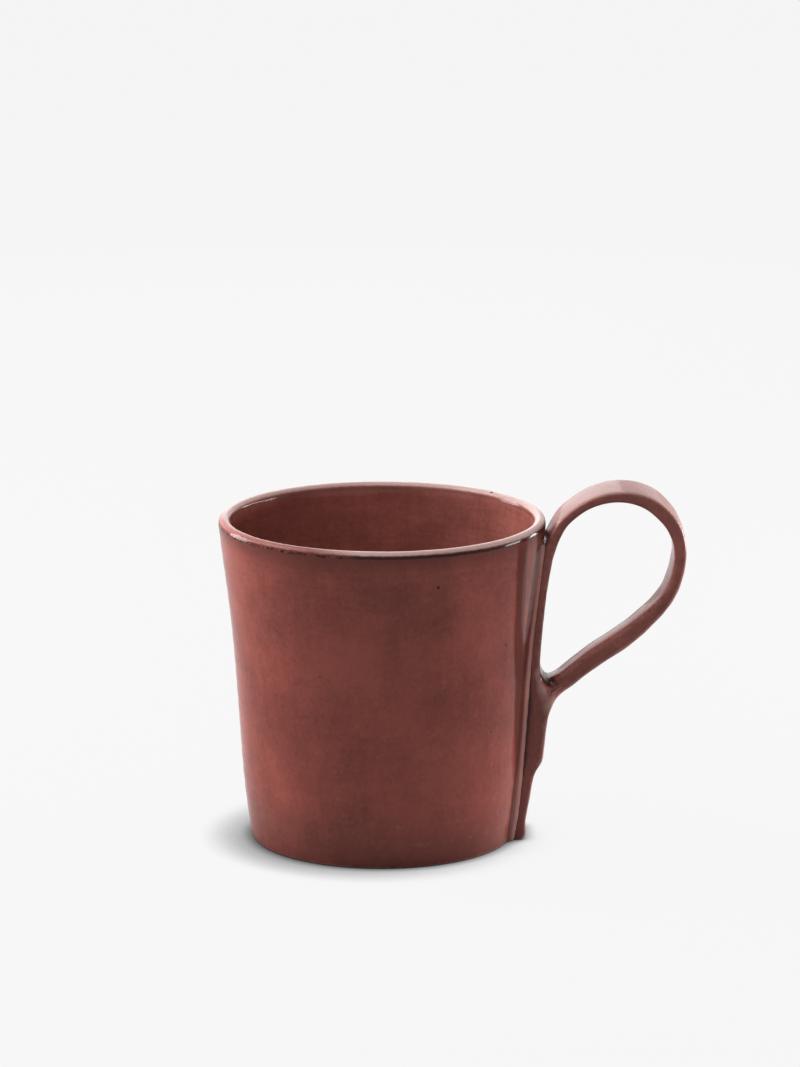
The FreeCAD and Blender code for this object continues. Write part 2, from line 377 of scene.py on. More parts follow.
# Heights of the rows up the outside. The landing's rows and the peel's last row are known by
# their place in the lists below.
LOW_ROWS = [1.5, 2.5, 3.6, 5.0, 7.0, 9.6, 12.4, 14.6, 15.9, 16.9, 17.8, 18.6, 19.5, 20.6, 22.2, 24.6, 27.4,
            30.0, 32.3]
LANDING_ROWS = [34.2, 35.9, 37.6, 39.3, 41.0, 42.4]
HIGH_ROWS = [44.2, 47.0, 50.5, 54.5, 58.5, 62.3, 65.8, 68.6, 70.8, 72.6, 74.0, 75.2]
RIM_ROWS = [76.2, 77.2, 78.1]
# Stand-off of the strap's face on the leg, height by height, with the tail on it from 16 mm
FACE_STANDS = [
    (0.0, 2.35), (0.6, 2.95), (1.6, 3.15), (3.3, 2.60), (4.9, 2.42), (8.7, 2.60), (13.0, 2.86), (15.2, 2.98),
    (16.4, 3.20), (17.4, 3.62), (18.6, 4.22), (19.6, 4.78), (20.6, 5.00), (22.2, 5.08), (25.0, 5.17),
    (28.5, 5.28), (31.0, 5.45), (32.6, 5.80), (34.2, 6.35)]
BARE_STANDS = [(42.4, 2.75), (43.6, 2.50), (47.3, 2.36), (53.0, 2.28), (58.9, 2.26)]
# How far the crease beside the strap stands out of the wall, and how much less towards the peel
CREASE = 0.45
CREASE_EASE = 0.15
# The strap's face sinks against its root, from a height, over a stretch, by an amount
SINK_FROM = 60.0
SINK_OVER = 16.9
SINK = 1.6
STRAP_ROUNDING = 0.75
STRAP_CROWN = 0.10
LANDING_CURVE = 0.8
# The notch between strap and rim: its height, how much higher it is at the strap's sides, and
# how far out of the wall
NOTCH_HEIGHT = 72.7
NOTCH_RISE = 0.6
NOTCH_OUT = 0.10
PEEL_FACE = [(58.9, 39.68), (66.4, 40.80), (71.5, 41.76), (75.3, 42.97)]


class Cup:
    """The cup's own measures, taken from the sizes in the panel."""

    def __init__(self, sizes):
        self.rim = sizes.rim_radius / MM
        self.height = sizes.height / MM
        self.foot = sizes.foot_radius / MM
        self.wall = sizes.wall / MM
        self.floor = sizes.floor / MM
        self.corner = sizes.inner_corner / MM
        self.width = sizes.strap_width / MM
        self.reach = sizes.loop_reach / MM
        self.lip_height = self.height - LIP
        flare = self.rim - self.foot
        top = self.lip_height - LIP * math.sin(LIP_LEAN)
        top_radius = self.rim - LIP + LIP * math.cos(LIP_LEAN)
        self.wall_radius = smooth_line(
            [FOOT_EDGE] + [up * self.lip_height for up, out in WALL_POINTS] + [top],
            [self.foot] + [self.foot + out * flare for up, out in WALL_POINTS] + [top_radius],
            FOOT_LEAN, math.tan(LIP_LEAN))
        heights = [z for z, stand in FACE_STANDS] + [z for z, stand in BARE_STANDS]
        stands = [stand for z, stand in FACE_STANDS] + [stand for z, stand in BARE_STANDS]
        self.face_stand = smooth_line(heights, stands)
        self.peel_face = smooth_line([z for z, x in PEEL_FACE], [x for z, x in PEEL_FACE], 0.115)

    def profile(self):
        """Rows of the closed profile as (radius, height), from the middle of the base round the
        outside, over the lip and down to the middle of the floor."""
        rows = [(0.0, 0.0)] + [(r, 0.0) for r in BASE_RADII]
        rows += [(self.foot - FOOT_EDGE, 0.0), (self.foot - EDGE_EASE, EDGE_EASE)]
        rows += [(self.foot, FOOT_EDGE)]
        self.first_wall_row = len(rows) - 1
        heights = [FOOT_EDGE] + LOW_ROWS + LANDING_ROWS + HIGH_ROWS + RIM_ROWS
        rows += [(self.wall_radius(z), z) for z in heights[1:]]
        self.wall_heights = heights
        self.landing_row = self.first_wall_row + 1 + len(LOW_ROWS)
        self.peel_row = self.landing_row + len(LANDING_ROWS) + len(HIGH_ROWS) - 1
        centre = self.rim - LIP
        for step in range(LIP_STEPS + 1):
            a = -LIP_LEAN + step / LIP_STEPS * math.pi
            rows.append((centre + LIP * math.cos(a), self.lip_height + LIP * math.sin(a)))
        bottom = self.floor + self.corner
        top_radius, top = rows[-1]
        levels = [bottom] + [share * self.lip_height for share in INNER_SHARES]
        inner = smooth_line(
            levels + [top], [self.wall_radius(z) - self.wall for z in levels] + [top_radius],
            INNER_LEAN, math.tan(LIP_LEAN))
        rows += [(inner(z), z) for z in INNER_ROWS]
        corner_radius = self.wall_radius(bottom) - self.wall - self.corner
        for step in range(CORNER_STEPS + 1):
            a = step / CORNER_STEPS * math.pi / 2
            rows.append((corner_radius + self.corner * math.cos(a), bottom - self.corner * math.sin(a)))
        rows += [(r, self.floor) for r in FLOOR_RADII] + [(0.0, self.floor)]
        return rows


def across(column, half_width, rounding, low, high):
    """Place of one of the 15 columns on half of the strap's section: how far to the side, and
    how far out between low and high. The face has a slight crown."""
    place = abs(column)
    sign = 1 if column > 0 else -1
    flat = high - rounding
    if place >= CORNER_COLUMN:
        side = half_width
        out = flat - (flat - low) * (place - CORNER_COLUMN) / (STRAP_COLUMNS - CORNER_COLUMN)
    elif place >= FACE_COLUMN:
        turn = math.radians(45) * (CORNER_COLUMN - place)
        side = half_width - rounding * (1 - math.cos(turn))
        out = flat + rounding * math.sin(turn)
    else:
        side = (half_width - rounding) * place / FACE_COLUMN
        out = high + STRAP_CROWN * (1 - (place / FACE_COLUMN) ** 2)
    return sign * side, out


def leg_point(cup, row, column):
    """Where a vertex of the strap or of its filler goes, in the rows below the peel."""
    index = row - cup.first_wall_row
    if index == -2:
        height, inset = 0.0, FOOT_EDGE
    elif index == -1:
        height, inset = EDGE_EASE, EDGE_EASE
    else:
        height, inset = cup.wall_heights[index], 0.0
    radius = cup.wall_radius(max(height, FOOT_EDGE)) - inset
    half = cup.width / 2 - inset * 0.6
    lift = min(max((height - SINK_FROM) / SINK_OVER, 0.0), 1.0)
    drop = SINK * lift * lift
    crease = radius + CREASE - CREASE_EASE * lift
    groove = math.hypot(half, crease) - radius
    bottom = math.sqrt((radius + groove * FILLER_SHAPE[0][1]) ** 2 - half ** 2)
    face_height = height - drop
    if face_height > PEEL_FACE[0][0]:
        face = cup.peel_face(face_height)
    elif height in LANDING_ROWS:
        low, high = LANDING_ROWS[0], LANDING_ROWS[-1]
        low_face = cup.wall_radius(low) + cup.face_stand(low)
        high_face = cup.wall_radius(high) + cup.face_stand(high)
        face = low_face + (high_face - low_face) * ((height - low) / (high - low)) ** LANDING_CURVE
    else:
        face = cup.wall_radius(max(face_height, FOOT_EDGE)) + cup.face_stand(face_height) - inset
    if abs(column) <= STRAP_COLUMNS:
        side, out = across(column, half, STRAP_ROUNDING, bottom, face)
        share = (out - bottom) / (face - bottom)
        return out, side, height - drop * share
    start = math.atan2(half, bottom)
    part, share = FILLER_SHAPE[abs(column) - STRAP_COLUMNS]
    angle = math.copysign(start + (FILLER_ANGLE - start) * part, column)
    radius += groove * share
    return radius * math.cos(angle), radius * math.sin(angle), height


LOOP_BASE = 41.0
LOOP_ABOVE_RIM = 7.0
# Where the first and the last ring stand, beyond the third station and beyond the last
LOOP_START = 0.7
LOOP_END = 0.2
LOOP_RINGS = 66
# Radius, height, thickness, width and rounding where the strap leaves the wall
PEEL_STATIONS = [
    (39.07, 66.7, 3.5, 14.8, 0.7), (40.07, 72.0, 3.5, 14.8, 0.7), (41.85, 75.9, 2.6, 14.8, 0.7)]
# Share of the reach beyond the rim, share of the height above the base, thickness, width, rounding
LOOP_STATIONS = [
    (0.0915, 0.8080, 2.50, 14.8, 0.70), (0.2220, 0.9040, 2.25, 14.8, 0.70),
    (0.3710, 0.9620, 2.48, 15.3, 0.70), (0.5430, 0.9800, 2.75, 15.4, 0.70),
    (0.7130, 0.9500, 3.30, 15.3, 0.70), (0.8400, 0.8800, 3.50, 14.9, 0.70),
    (0.9220, 0.7950, 3.33, 14.8, 0.70), (0.9590, 0.6830, 3.00, 14.8, 0.75),
    (0.9400, 0.5580, 3.00, 14.3, 0.90), (0.8780, 0.4340, 3.15, 12.5, 1.20),
    (0.7570, 0.3230, 3.80, 10.2, 1.30), (0.5535, 0.1920, 4.60, 9.0, 1.35),
    (0.3360, 0.0830, 4.60, 9.0, 1.35), (0.1560, -0.0230, 4.40, 9.4, 1.35)]


def loop_line(cup):
    """The centre line of the strap in the air, and its thickness, width and rounding, as one
    function of the distance along it. Returns the function and where it starts and ends."""
    rise = cup.height + LOOP_ABOVE_RIM - LOOP_BASE
    stations = PEEL_STATIONS + [
        (cup.rim + along * cup.reach, LOOP_BASE + up * rise, thickness, width, rounding)
        for along, up, thickness, width, rounding in LOOP_STATIONS]
    spots = np.array([s[:2] for s in stations])
    knots = np.concatenate([[0], np.cumsum(np.hypot(*np.diff(spots, axis=0).T))])
    line = smooth_line(knots, stations)
    return line, knots[2] + LOOP_START, knots[-1] + LOOP_END


def ring_order():
    """The 30 places round a section: the front half, which faces the loop's opening, from side
    to side, then back along the half that faces away from it."""
    columns = list(range(-STRAP_COLUMNS, STRAP_COLUMNS + 1))
    return [("front", c) for c in columns] + [("back", c) for c in reversed(columns)]


# Shares of the thickness: the most that the corners are rounded by, and where the sides start
MOST_ROUNDING = 0.44
SIDE_START = 0.10


def section(front, back, half_front, half_back, rounding):
    """A ring of 30 points spanned between the middle of its front face and the middle of its
    back face. The half widths may differ."""
    front = np.array(front, float)
    back = np.array(back, float)
    centre = (front + back) / 2
    out = front - back
    thick = float(np.hypot(*out))
    out /= thick
    points = []
    for half, column in ring_order():
        width = half_front if half == "front" else half_back
        middle = (half_front + half_back) / 2
        sign = 1 if half == "front" else -1
        round_off = min(rounding, MOST_ROUNDING * thick)
        side, reach = across(column, width, round_off, SIDE_START * thick, thick / 2)
        if abs(column) >= CORNER_COLUMN:
            blend = (STRAP_COLUMNS - abs(column)) / (STRAP_COLUMNS - CORNER_COLUMN)
            side = math.copysign(middle + (width - middle) * blend, column)
        spot = centre + out * sign * reach
        points.append((spot[0], side, spot[1]))
    return points


# The strap's last stretch, where it turns down along the leg: middle of the face above, middle
# of the face below, half width above and below, and rounding
LANDING_RINGS = [
    ((42.60, 40.80), (45.10, 37.05), 4.75, 5.05, 2.1),
    ((41.35, 40.15), (44.00, 36.25), 4.75, 5.60, 2.1),
    ((40.30, 40.00), (43.15, 35.60), 4.85, 6.20, 2.1),
    ((39.40, 40.50), (42.45, 34.95), 5.20, 6.80, 1.8)]


# How each place lies to the strap's joint, for the glaze. It rises from 0 on the bare wall to 1
# in the crease. Above that are the strap's edge, the strap, and the deep corners at the notch
# and under the landing.
STRAP_EDGE = 1.3
ON_STRAP = 1.6
IN_CORNER = 2.4


def tube_rings(cup):
    """Rings of the loop from the peel to the landing, in metres."""
    line, start, end = loop_line(cup)
    rings = []
    for step in range(LOOP_RINGS + 1):
        place = start + (end - start) * step / LOOP_RINGS
        x, z, thickness, width, rounding = line(place)
        ahead = line(place + 0.01)
        behind = line(place - 0.01)
        along = np.array([ahead[0] - behind[0], ahead[1] - behind[1]])
        along /= np.hypot(*along)
        out = np.array([along[1], -along[0]])
        centre = np.array([x, z])
        rings.append(section(
            centre + out * thickness / 2, centre - out * thickness / 2, width / 2, width / 2, rounding))
    for ring in LANDING_RINGS:
        rings.append(section(*ring))
    return [[Vector(p) * MM for p in ring] for ring in rings]


def shape_strap(cup, mesh):
    """Works the leg and its filler out of the turned wall, opens the wall at the peel and at
    the landing, and joins the two openings with the loop."""
    shape = bmesh.new()
    shape.from_mesh(mesh)
    joint = shape.verts.layers.float.new("joint")
    row_of = shape.verts.layers.int["row"]
    column_of = shape.verts.layers.int["column"]
    at = {}
    for vert in shape.verts:
        at[vert[row_of], vert[column_of]] = vert
    for row in range(cup.first_wall_row - 2, cup.peel_row + 1):
        for column in range(-FILLER_COLUMNS, FILLER_COLUMNS + 1):
            vert = at[row, column]
            vert.co = Vector(leg_point(cup, row, column)) * MM
            if abs(column) >= STRAP_COLUMNS:
                vert[joint] = 1.0 - FILLER_SHAPE[abs(column) - STRAP_COLUMNS][0]
            else:
                vert[joint] = STRAP_EDGE if abs(column) == STRAP_COLUMNS - 1 else ON_STRAP
    # The row just above the peel holds the bottom of the notch between strap and wall.
    strap = range(-STRAP_COLUMNS, STRAP_COLUMNS + 1)
    for column in strap:
        side, out = across(column, cup.width / 2, STRAP_ROUNDING, 0.0, 1.0)
        vert = at[cup.peel_row + 1, column]
        height = NOTCH_HEIGHT + NOTCH_RISE * (abs(column) / STRAP_COLUMNS) ** 4
        radius = cup.wall_radius(height) + NOTCH_OUT
        vert.co = Vector((math.sqrt(radius ** 2 - side ** 2), side, height)) * MM
        vert[joint] = IN_CORNER

    peel = []
    landing = []
    first, last = cup.landing_row, cup.landing_row + len(LANDING_ROWS) - 1
    for half, column in ring_order():
        peel.append(at[cup.peel_row if half == "front" else cup.peel_row + 1, column])
        over = abs(column) - CORNER_COLUMN
        if over <= 0:
            landing.append(at[last if half == "front" else first, column])
        else:
            row = last - over if half == "front" else first + over
            landing.append(at[row, int(math.copysign(CORNER_COLUMN, column))])

    gone = set()
    for face in shape.faces:
        rows = {v[row_of] for v in face.verts}
        columns = {v[column_of] for v in face.verts}
        at_peel = rows == {cup.peel_row, cup.peel_row + 1} and columns <= set(strap)
        at_landing = min(rows) >= first and max(rows) <= last and (
            max(abs(column) for column in columns) <= CORNER_COLUMN)
        if at_peel or at_landing:
            gone.add(face)
    bmesh.ops.delete(shape, geom=list(gone), context="FACES_ONLY")
    bmesh.ops.delete(shape, geom=[e for e in shape.edges if not e.link_faces], context="EDGES")
    bmesh.ops.delete(shape, geom=[v for v in shape.verts if not v.link_faces], context="VERTS")

    before = peel
    rings = tube_rings(cup)
    for number, ring in enumerate(rings + [None]):
        after = landing if ring is None else [shape.verts.new(p) for p in ring]
        if ring is not None:
            for i, vert in enumerate(after):
                pocket = number > len(rings) - len(LANDING_RINGS) and 2 <= i <= 12
                vert[joint] = IN_CORNER if pocket else ON_STRAP
        for i in range(len(before)):
            j = (i + 1) % len(before)
            shape.faces.new((before[i], before[j], after[j], after[i]))
        before = after
    bmesh.ops.recalc_face_normals(shape, faces=shape.faces)
    shape.to_mesh(mesh)
    shape.free()


# Glaze

# Shares of the patterns in the glaze's tone, the part of the tone that goes from dark to light,
# and how much of the colour the dark keeps
CLOUDS = 0.48
MOTTLE = 0.21
FINE = 0.20
STREAKS = 0.11
RINGS = 0.12
TONE_RANGE = (0.41, 0.58)
DARK_TONE = 0.64
# The painted dark reflection of the handle in the wall beside the strap: distance from the middle of the
# handle at the table, and how that grows with the height, for its far and its near side
BAND_FAR = (0.0082, 0.189)
BAND_NEAR = (0.0011, 0.232)
# Specks: grain of their cells, the random value from which a cell has one, and the speck's
# radius in its cell
SPECK_GRAIN = 150.0
SPECK_CELLS = (0.60, 0.61)
SPECK_RADIUS = (0.045, 0.075)
# Heights and radii of the lip's bands, in metres
LIP_LINE_REACH = (0.0402, 0.0405)
LIP_THIN_AND_HIGHLIGHT = (0.0794, 0.0798)
OUTER_LINE = (0.0785, 0.0788, 0.0793, 0.0796)
OUTER_FADE = (0.0750, 0.0790)
INNER_LINE = (0.0785, 0.0788, 0.0791, 0.0795)


def glaze_material(look):
    """Glossy iron-red glaze: clouds and running streaks of darker glaze, thin paler glaze on the
    edges with a painted highlight, a painted dark reflection and painted shade beside the strap,
    painted shade in hollows and towards the foot, iron specks, and bare clay under the foot. The
    patterns are on Object coordinates and on the cup's own attributes joint and edge."""
    material, tree = new_material("iron_red_glaze")
    coords = tree.nodes.new("ShaderNodeTexCoord").outputs["Object"]
    x, y, z = add_node(tree, "ShaderNodeSeparateXYZ", {0: coords}).outputs

    def colour(value):
        return (value[0], value[1], value[2], 1.0)

    def mix(first, second, share):
        node = add_node(tree, "ShaderNodeMix", data_type="RGBA")
        for socket, value in ((node.inputs[0], share), (node.inputs[6], first), (node.inputs[7], second)):
            if isinstance(value, bpy.types.NodeSocket):
                tree.links.new(value, socket)
            else:
                socket.default_value = value
        return node.outputs[2]

    def reach(value, low, high, first=0.0, second=1.0):
        return add_node(tree, "ShaderNodeMapRange", {0: value, 1: low, 2: high, 3: first, 4: second},
                        clamp=True).outputs[0]

    def noise(vector, scale, detail, roughness=0.5):
        return add_node(tree, "ShaderNodeTexNoise", {
            "Vector": vector, "Scale": scale, "Detail": detail, "Roughness": roughness}).outputs["Fac"]

    def times(*values):
        result = values[0]
        for value in values[1:]:
            result = maths(tree, "MULTIPLY", result, value)
        return result

    def plus(first, second):
        return maths(tree, "ADD", first, second)

    def minus(first, second):
        return maths(tree, "SUBTRACT", first, second)

    def most(first, second):
        return maths(tree, "MAXIMUM", first, second)

    def times_colour(value, amount):
        return mix((0.0, 0.0, 0.0, 1.0), value, amount)

    clouds = noise(coords, 38.0, 4.0)
    run = add_node(tree, "ShaderNodeMapping", {"Vector": coords, "Scale": (1.0, 1.0, 0.10)})
    streaks = noise(run.outputs[0], 420.0, 3.0, 0.6)
    fine = noise(coords, 900.0, 3.0, 0.6)
    mottle = noise(coords, 170.0, 3.0, 0.65)
    rings = noise(add_node(tree, "ShaderNodeMapping", {
        "Vector": coords, "Scale": (0.05, 0.05, 1.0)}).outputs[0], 1500.0, 2.0)
    tone = plus(times(mottle, MOTTLE), times(fine, FINE))
    tone = plus(times(clouds, CLOUDS), tone)
    tone = plus(tone, times(streaks, STREAKS))

    # The glaze inside is thinner. The middle of the wall runs nearly straight from foot to lip.
    flat = add_node(tree, "ShaderNodeCombineXYZ", {"X": x, "Y": y})
    radius = add_node(tree, "ShaderNodeVectorMath", {0: flat.outputs[0]}, operation="LENGTH").outputs["Value"]
    middle = reach(z, 0.0, 0.079, 0.0306, 0.0385)
    inward = times(reach(minus(middle, radius), -0.0003, 0.0003), reach(z, 0.0020, 0.0030))
    near_top = most(inward, reach(z, 0.0600, 0.0720))
    tone = plus(tone, times(minus(rings, 0.5), near_top, RINGS))
    share = reach(tone, *TONE_RANGE)
    joint = add_node(tree, "ShaderNodeAttribute", attribute_name="joint").outputs["Fac"]
    inward = most(inward, reach(joint, 1.05, 1.40))
    base = mix(colour(look.body), colour(look.inner), inward)
    base = mix(times_colour(base, DARK_TONE), base, share)

    # Beside the strap, a straight dark band on the wall is a painted reflection of the handle.
    # Between bead and wall is painted shade, the bead gets a painted highlight, and the crease and
    # corners get nearly black painted shade.
    aside = maths(tree, "ABSOLUTE", y)
    far_side = plus(BAND_FAR[0], times(z, BAND_FAR[1]))
    near_side = plus(BAND_NEAR[0], times(z, BAND_NEAR[1]))
    band = times(
        reach(minus(far_side, aside), -0.0002, 0.0003), reach(minus(aside, near_side), -0.0003, 0.0003),
        reach(joint, 0.20, 0.05), reach(x, 0.010, 0.012), reach(z, 0.0785, 0.0770), minus(1.0, inward))
    valley = times(reach(joint, 0.06, 0.16), reach(joint, 0.62, 0.52))
    base = mix(base, colour(look.shade_and_reflection), most(times(band, 0.80), times(valley, 0.95)))
    # Painted shade: darker towards the foot.
    low_down = reach(z, 0.0150, 0.0010)
    base = mix(base, colour(look.shade_and_reflection), times(low_down, 0.50))
    # A painted highlight on the bead, in the thin glaze's colour.
    ridge = times(reach(joint, 0.62, 0.72), reach(joint, 0.96, 0.90))
    base = mix(base, colour(look.thin), times(ridge, 0.35))

    # Paler thin glaze on edges and on top of the lip, partly a painted highlight, which is weak on the
    # lip's front left so that it stays redder there; and nearly black painted shade in hollows. The
    # lip's line is broken at the front left.
    front_left = reach(plus(x, times(y, 0.7)), -0.0330, -0.0420)
    rough_edge = times(minus(fine, 0.5), reach(front_left, 0.0, 1.0, 0.0003, 0.0010))
    height = plus(z, rough_edge)
    on_rim = reach(radius, *LIP_LINE_REACH, 1.0, 0.0)
    edge = add_node(tree, "ShaderNodeAttribute", attribute_name="edge").outputs["Fac"]
    thin = reach(plus(edge, times(minus(fine, 0.5), 0.10)), 0.06, 0.24)
    base = mix(base, colour(look.thin), times(thin, reach(front_left, 0.0, 1.0, 0.50, 0.10)))
    # Painted shade, nearly black, in the crease beside the strap, in the corners at the notch and under the
    # landing, and in hollows
    crease = most(times(reach(joint, 0.95, 0.99), reach(joint, 1.20, 1.06)), reach(joint, 1.75, 2.2))
    hollow = most(times(crease, 0.80), times(reach(edge, -0.05, -0.20), 0.60))
    base = mix(base, colour(look.line), hollow)
    base = mix(base, colour(look.thin), times(
        on_rim, reach(height, *LIP_THIN_AND_HIGHLIGHT), reach(front_left, 0.0, 1.0, 0.90, 0.12)))

    # Below the lip the glaze gathers in a dark line outside, which fades downwards, and a finer
    # broken line inside
    uneven = noise(coords, 260.0, 2.0)
    outside = times(on_rim, reach(radius, 0.0386, 0.0392))
    wander = plus(height, times(minus(uneven, 0.5), 0.0003))
    gathered = times(reach(wander, *OUTER_LINE[:2]), reach(wander, *OUTER_LINE[2:], 1.0, 0.0), outside)
    broken = reach(fine, 0.42, 0.56, 0.25, 1.0)
    gathered = times(gathered, most(broken, minus(1.0, front_left)))
    fade = times(reach(height, *OUTER_FADE), reach(height, 0.0786, 0.0790, 1.0, 0.0), outside)
    inside = times(reach(radius, 0.0374, 0.0378, 1.0, 0.0), reach(wander, *INNER_LINE[:2]),
                   reach(wander, *INNER_LINE[2:], 1.0, 0.0), reach(fine, 0.40, 0.55, 0.25, 0.9))
    base = mix(base, colour(look.deep), times(fade, 0.75))
    dark = most(times(gathered, 0.95), times(inside, 0.35))
    dark = most(dark, times(fade, 0.30))
    base = mix(base, colour(look.line), dark)

    spots = add_node(tree, "ShaderNodeTexVoronoi", {"Vector": coords, "Scale": SPECK_GRAIN})
    chosen = reach(spots.outputs["Color"], *SPECK_CELLS)
    speck = times(reach(spots.outputs["Distance"], *SPECK_RADIUS, 1.0, 0.0), chosen)
    base = mix(base, colour(look.speck), speck)

    normal = tree.nodes.new("ShaderNodeNewGeometry").outputs["Normal"]
    facing = add_node(tree, "ShaderNodeSeparateXYZ", {0: normal}).outputs["Z"]
    bare = times(reach(z, 0.0006, 0.0002), reach(facing, -0.75, -0.90))
    base = mix(base, colour(look.clay), bare)

    rough = plus(look.roughness, times(minus(streaks, 0.5), 0.08))
    rough = plus(rough, times(speck, 0.25))
    rough = plus(rough, times(bare, 0.50))
    shader = add_node(tree, "ShaderNodeBsdfPrincipled", {
        "Base Color": base, "Roughness": rough, "IOR": 1.08, "Specular Tint": (1.0, 0.70, 0.65, 1.0),
        "Coat Weight": 0.24, "Coat Roughness": 0.07, "Coat IOR": 1.50})
    bumps = plus(times(fine, 0.35), times(streaks, 0.65))
    bump = add_node(tree, "ShaderNodeBump", {"Height": bumps, "Strength": 0.10, "Distance": 0.0002})
    tree.links.new(bump.outputs[0], shader.inputs["Normal"])
    tree.links.new(bump.outputs[0], shader.inputs["Coat Normal"])
    out = tree.nodes.new("ShaderNodeOutputMaterial")
    tree.links.new(shader.outputs[0], out.inputs[0])
    return material


# Operators

# Height over one radian of the throwing lines' sine, which puts the lines 4.4 mm apart, and the
# height from which the hand finish sets in
LINE_SPACING = 0.0007
FINISH_FROM = 0.0010


class CUP_OT_make_cup(bpy.types.Operator):
    """Turns the cup, works the handle on it and glazes it"""
    bl_idname = "coffee_cup.make_cup"
    bl_label = "Make the cup"

    def execute(self, context):
        scene = context.scene
        cup = Cup(scene.cup_sizes)
        material = glaze_material(scene.glaze_look)
        profile = bpy.data.meshes.new("cup_profile")
        rows = [(r * MM, 0.0, z * MM) for r, z in cup.profile()]
        profile.from_pydata(rows, [(i, i + 1) for i in range(len(rows) - 1)], [])
        piece = bpy.data.objects.new("cup_glazed", profile)
        context.collection.objects.link(piece)
        tree, names = turning_tree()
        mesh = run_tree(piece, tree, names, {
            "Columns": scene.cup_sizes.columns, "Strap columns": float(STRAP_COLUMNS),
            "Filler columns": float(FILLER_COLUMNS), "Strap angle": math.asin(cup.width / 2 / cup.rim),
            "Filler angle": FILLER_ANGLE, "Material": material})
        shape_strap(cup, mesh)
        piece.data = mesh
        smooth = piece.modifiers.new("Smooth", "SUBSURF")
        smooth.levels = 1
        smooth.render_levels = 1
        piece.data = finished_mesh(piece)
        tree, names = hand_tree()
        mesh = run_tree(piece, tree, names, {
            "Wobble": scene.cup_sizes.wobble, "Throwing lines": scene.cup_sizes.throwing_lines,
            "Line spacing": LINE_SPACING, "Lowest": FINISH_FROM, "Material": material})
        piece.data = mesh
        mesh.name = "cup_glazed"
        for name in ("row", "column"):
            if name in mesh.attributes:
                mesh.attributes.remove(mesh.attributes[name])
        mesh.polygons.foreach_set("use_smooth", [True] * len(mesh.polygons))
        bpy.data.meshes.remove(profile)
        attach(piece, "root")
        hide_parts("cup")
        return {"FINISHED"}


# The floor: colour of its lit part, share of its own brightness in what is seen, how far the
# wide painted shade and the painted dark contact line under the foot reach, and the direction
# that the wide painted shade is taken from, so that it lies to the left of the object
LIT_GREY = (0.50, 0.50, 0.50, 1.0)
OWN_SHARE = 0.96
SHADE_REACH = 0.0135
CONTACT_REACH = 0.003
SHADE_LEAN = {"X": 0.50, "Y": 0.30, "Z": 0.81}
SHADE_SAMPLES = 8


def floor_material(brightness):
    """Pale floor. What the camera and reflections see is its own even brightness, with painted shade
    where something stands close above it, and a part that is lit and keeps the object's shadow."""
    material, tree = new_material("pale_floor")
    lit = add_node(tree, "ShaderNodeBsdfDiffuse", {"Color": LIT_GREY})
    lean = add_node(tree, "ShaderNodeCombineXYZ", SHADE_LEAN)
    open_sky = add_node(tree, "ShaderNodeAmbientOcclusion", {
        "Distance": SHADE_REACH, "Normal": lean.outputs[0]}, samples=SHADE_SAMPLES)
    close = add_node(tree, "ShaderNodeAmbientOcclusion", {
        "Distance": CONTACT_REACH}, samples=SHADE_SAMPLES)
    shade = add_node(tree, "ShaderNodeMapRange", {
        0: open_sky.outputs["AO"], 1: 0.0, 2: 0.90, 3: 0.0, 4: brightness}, clamp=True)
    contact = add_node(tree, "ShaderNodeMapRange", {
        0: close.outputs["AO"], 1: 0.05, 2: 0.95, 3: 0.10, 4: 1.0}, clamp=True)
    shade = maths(tree, "MULTIPLY", shade.outputs[0], contact.outputs[0])
    own = add_node(tree, "ShaderNodeEmission", {"Color": (1.0, 1.0, 1.0, 1.0), "Strength": shade})
    seen = maths(tree, "MULTIPLY", seen_rays(tree), OWN_SHARE)
    both = add_node(tree, "ShaderNodeMixShader", {0: seen, 1: lit.outputs[0], 2: own.outputs[0]})
    out = tree.nodes.new("ShaderNodeOutputMaterial")
    tree.links.new(both.outputs[0], out.inputs[0])
    return material


# Where the photograph's camera stood, in its own 800 by 1067 frame
PHOTO_WIDTH = 800
PHOTO_HEIGHT = 1067
SENSOR = 36.0
FOCAL_PIXELS = 5245.5
AIM = Vector((0.0, 0.0, 0.040))
AIM_PIXEL = (382.13, 675.55)
CAMERA_DISTANCE = 1.290
CAMERA_RISE = math.radians(14.643)


def place_camera():
    """The camera looks at the handle's side from a little above. It is turned so that the point
    it is aimed at lands where the photograph has it."""
    data = bpy.data.cameras.new("photo_camera")
    data.sensor_width = SENSOR
    data.lens = FOCAL_PIXELS * SENSOR / PHOTO_HEIGHT
    data.clip_start = 0.05
    data.clip_end = 20.0
    camera = bpy.data.objects.new("photo_camera", data)
    bpy.context.collection.objects.link(camera)
    back = Vector((0.0, -math.cos(CAMERA_RISE), math.sin(CAMERA_RISE)))
    forward = -back
    right = Vector((1.0, 0.0, 0.0))
    up = right.cross(forward)
    turn = math.atan((AIM_PIXEL[0] - PHOTO_WIDTH / 2) / FOCAL_PIXELS)
    tilt = math.atan((AIM_PIXEL[1] - PHOTO_HEIGHT / 2) / FOCAL_PIXELS)
    ahead = forward * math.cos(turn) - right * math.sin(turn)
    beside = right * math.cos(turn) + forward * math.sin(turn)
    look = ahead * math.cos(tilt) + up * math.sin(tilt)
    over = up * math.cos(tilt) - ahead * math.sin(tilt)
    frame_of = Matrix((beside, over, -look)).transposed().to_4x4()
    frame_of.translation = AIM + back * CAMERA_DISTANCE
    camera.matrix_world = frame_of
    bpy.context.scene.camera = camera


